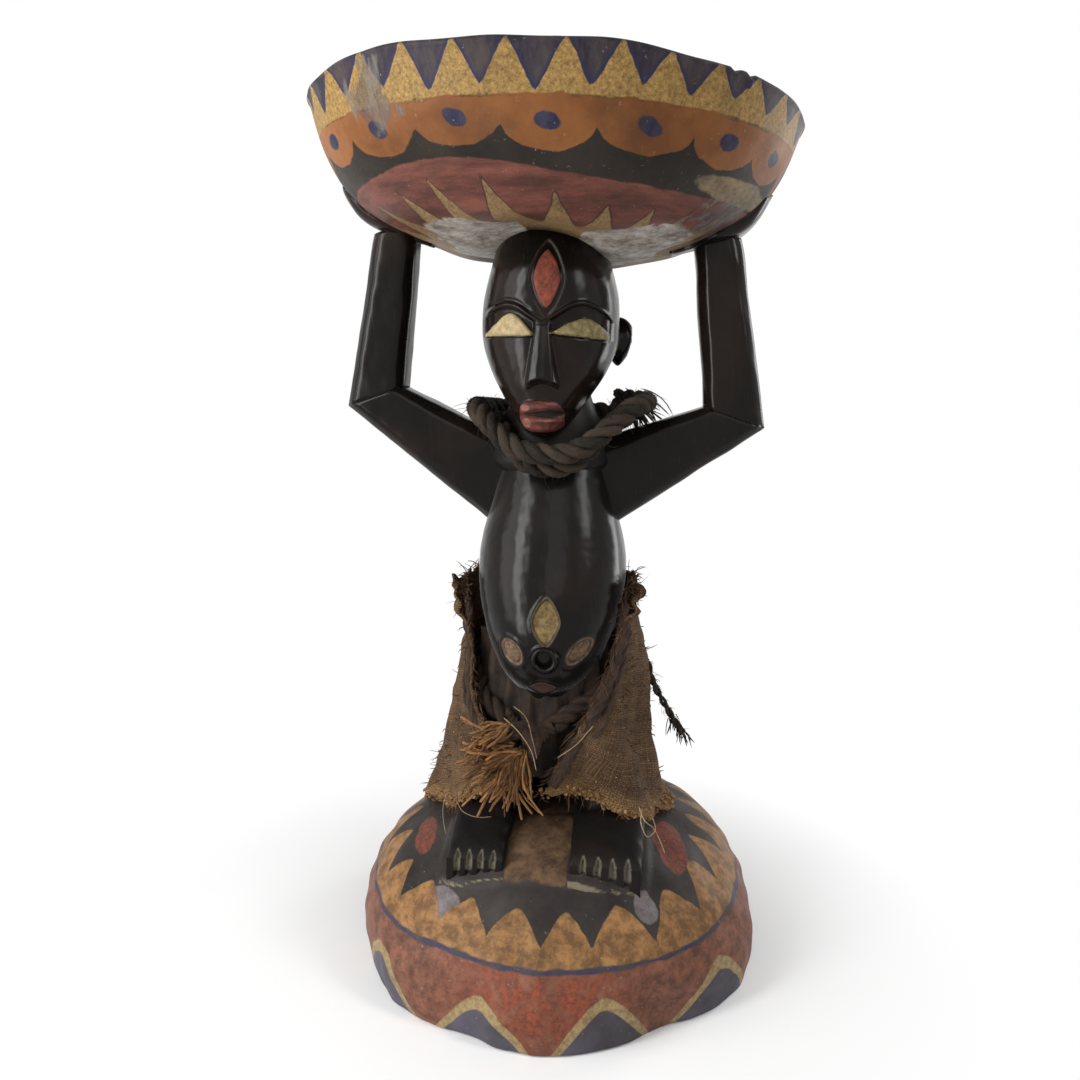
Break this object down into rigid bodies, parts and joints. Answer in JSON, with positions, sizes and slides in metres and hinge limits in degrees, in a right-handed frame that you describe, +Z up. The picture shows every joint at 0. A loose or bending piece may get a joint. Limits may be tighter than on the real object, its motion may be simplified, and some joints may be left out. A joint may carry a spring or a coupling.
{
  "type": "caryatid stool",
  "caption": "Carved wooden stool: a dark standing figure on a domed painted base holds up a round dished seat on head and hands, and wears a rope collar and a plant-fibre skirt.",
  "frame": {"origin": "middle of the stool's outline on the floor, under the figure's axis", "axes": "+Z up, -Y the way the figure faces, +X to the right of someone who faces it"},
  "size_m": [0.2758, 0.276, 0.5053],
  "materials": {
    "painted_wood": "matt earth paints on wood, worn and speckled",
    "black_wood": "blackened wood with a hand-rubbed gloss",
    "dark_rope": "twisted plant fibre, dark and matt",
    "raffia_cloth": "coarse open weave of plant fibre",
    "straw": "stiff orange-brown straws"
  },
  "bodies": {
    "root": {"base": "painted_wood", "left_foot": "black_wood", "right_foot": "black_wood", "left_leg": "black_wood", "right_leg": "black_wood", "hips": "black_wood", "torso": "black_wood", "left_upper_arm": "black_wood", "right_upper_arm": "black_wood", "left_forearm": "black_wood", "right_forearm": "black_wood", "left_hand": "black_wood", "right_hand": "black_wood", "head": "black_wood", "seat_bowl": "painted_wood", "neck_rope": "dark_rope", "skirt_cloth": "raffia_cloth", "waist_rope": "dark_rope", "belt_knot": "dark_rope", "tassel": "straw", "hanging_cord": "dark_rope"}
  },
  "joints": []
}
